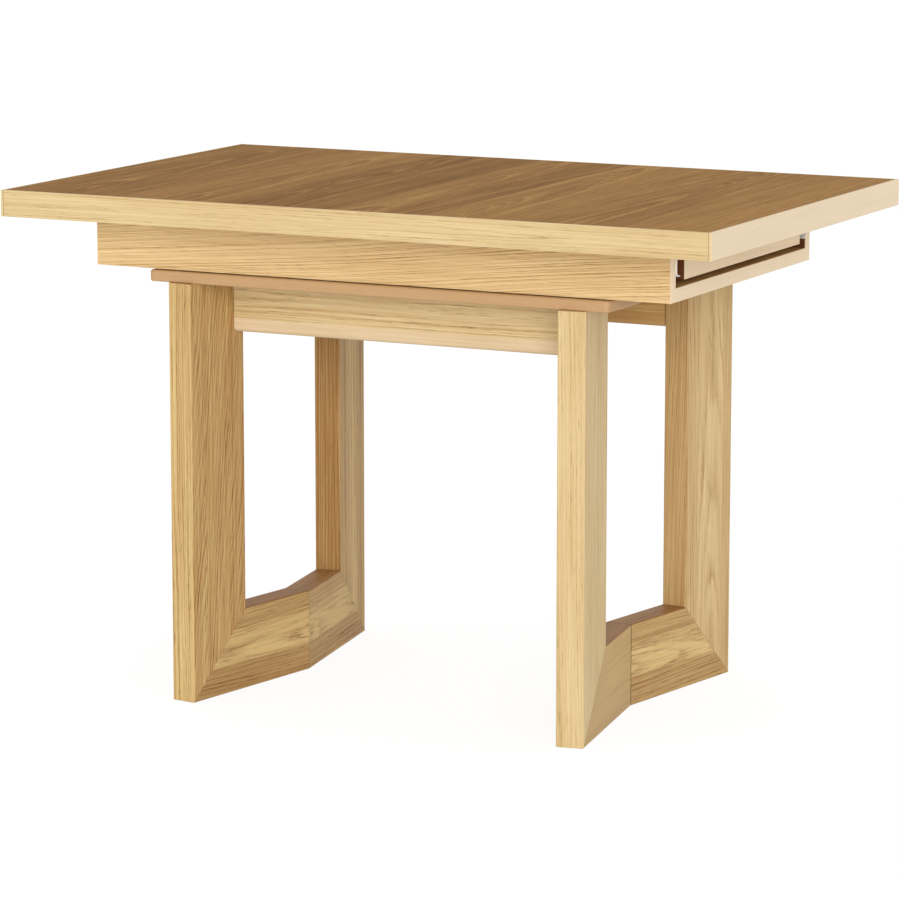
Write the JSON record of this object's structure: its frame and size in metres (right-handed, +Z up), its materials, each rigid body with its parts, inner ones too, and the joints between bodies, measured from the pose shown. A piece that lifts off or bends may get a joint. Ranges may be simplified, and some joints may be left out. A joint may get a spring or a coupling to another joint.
{
  "type": "draw leaf table",
  "caption": "Oak dining table with bent sled leg frames and, at each end, a draw unit on ball bearing slides that carries a folded leaf.",
  "frame": {"origin": "on the floor, under the middle of the table top", "axes": "+X along the top towards the right-hand end, +Y towards the back long edge, +Z up"},
  "size_m": [1.1, 0.7, 0.742],
  "materials": {
    "oak_veneer": "satin lacquer",
    "light_oak": "satin lacquer",
    "pale_edge_band": "satin lacquer",
    "core_board": "raw board",
    "tray_oak": "satin lacquer",
    "beech_band": "satin lacquer",
    "plate_beech": "satin lacquer",
    "leg_oak": "satin lacquer",
    "rail_oak": "satin lacquer",
    "lipping_oak": "satin lacquer",
    "beech_tongue": "raw",
    "zinc_screws": "zinc plated",
    "white_steel": "white enamel",
    "zinc_steel": "zinc plated",
    "cage_plastic": "moulded",
    "draw_oak": "satin lacquer",
    "draw_board": "lacquer",
    "bottom_sheet": "lacquer",
    "leaf_oak": "satin lacquer",
    "hinge_brass": "brushed"
  },
  "bodies": {
    "base": {"apron_back": "tray_oak", "apron_end_bands": "beech_band", "apron_front": "tray_oak", "floor_end_bands": "beech_band", "foot_left_back": "leg_oak", "foot_left_front": "leg_oak", "foot_right_back": "leg_oak", "foot_right_front": "leg_oak", "frame_splines": "beech_tongue", "leg_bolts": "zinc_screws", "mounting_plate": "plate_beech", "post_left_back": "leg_oak", "post_left_front": "leg_oak", "post_right_back": "leg_oak", "post_right_front": "leg_oak", "rail_back": "rail_oak", "rail_front": "rail_oak", "rail_lipping_back": "lipping_oak", "rail_lipping_front": "lipping_oak", "rail_tongues": "beech_tongue", "slide_outer_left": "white_steel", "slide_outer_right": "white_steel", "top_band_back": "light_oak", "top_band_front": "light_oak", "top_band_left": "pale_edge_band", "top_band_right": "pale_edge_band", "top_core": "core_board", "top_tongues": "beech_tongue", "top_veneer": "oak_veneer", "tray_crossbar": "tray_oak", "tray_floor": "tray_oak", "tray_screws": "zinc_screws"},
    "draw_right": {"draw_front_right": "draw_oak", "draw_sides_right": "draw_board", "draw_crossbars_right": "draw_board", "draw_bottom_right": "bottom_sheet", "draw_strips_right": "draw_board", "draw_tongues_right": "beech_tongue", "leaf_lower_right": "leaf_oak", "leaf_upper_right": "leaf_oak", "leaf_hinges_right": "hinge_brass", "slide_inner_right": "zinc_steel"},
    "slide_middle_right": {"slide_middle_right": "zinc_steel"},
    "cages_outer_right": {"ball_cages_outer_right": "cage_plastic"},
    "cages_inner_right": {"ball_cages_inner_right": "cage_plastic"},
    "draw_left": {"draw_front_left": "draw_oak", "draw_sides_left": "draw_board", "draw_crossbars_left": "draw_board", "draw_bottom_left": "bottom_sheet", "draw_strips_left": "draw_board", "draw_tongues_left": "beech_tongue", "leaf_lower_left": "leaf_oak", "leaf_upper_left": "leaf_oak", "leaf_hinges_left": "hinge_brass", "slide_inner_left": "zinc_steel"},
    "slide_middle_left": {"slide_middle_left": "zinc_steel"},
    "cages_outer_left": {"ball_cages_outer_left": "cage_plastic"},
    "cages_inner_left": {"ball_cages_inner_left": "cage_plastic"}
  },
  "joints": [
    {"name": "draw_right_slide", "type": "slide", "parent": "base", "child": "draw_right", "axis": [1, 0, 0], "range_m": [0, 0.43]},
    {"name": "middle_right_slide", "type": "slide", "parent": "base", "child": "slide_middle_right", "axis": [1, 0, 0], "range_m": [0, 0.215]},
    {"name": "cages_outer_right_slide", "type": "slide", "parent": "base", "child": "cages_outer_right", "axis": [1, 0, 0], "range_m": [0, 0.1075]},
    {"name": "cages_inner_right_slide", "type": "slide", "parent": "base", "child": "cages_inner_right", "axis": [1, 0, 0], "range_m": [0, 0.3225]},
    {"name": "draw_left_slide", "type": "slide", "parent": "base", "child": "draw_left", "axis": [-1, 0, 0], "range_m": [0, 0.43]},
    {"name": "middle_left_slide", "type": "slide", "parent": "base", "child": "slide_middle_left", "axis": [-1, 0, 0], "range_m": [0, 0.215]},
    {"name": "cages_outer_left_slide", "type": "slide", "parent": "base", "child": "cages_outer_left", "axis": [-1, 0, 0], "range_m": [0, 0.1075]},
    {"name": "cages_inner_left_slide", "type": "slide", "parent": "base", "child": "cages_inner_left", "axis": [-1, 0, 0], "range_m": [0, 0.3225]}
  ],
  "couplings": [
    {"joint": "middle_right_slide", "follows": "draw_right_slide", "ratio": 0.5},
    {"joint": "cages_outer_right_slide", "follows": "draw_right_slide", "ratio": 0.25},
    {"joint": "cages_inner_right_slide", "follows": "draw_right_slide", "ratio": 0.75},
    {"joint": "middle_left_slide", "follows": "draw_left_slide", "ratio": 0.5},
    {"joint": "cages_outer_left_slide", "follows": "draw_left_slide", "ratio": 0.25},
    {"joint": "cages_inner_left_slide", "follows": "draw_left_slide", "ratio": 0.75}
  ]
}
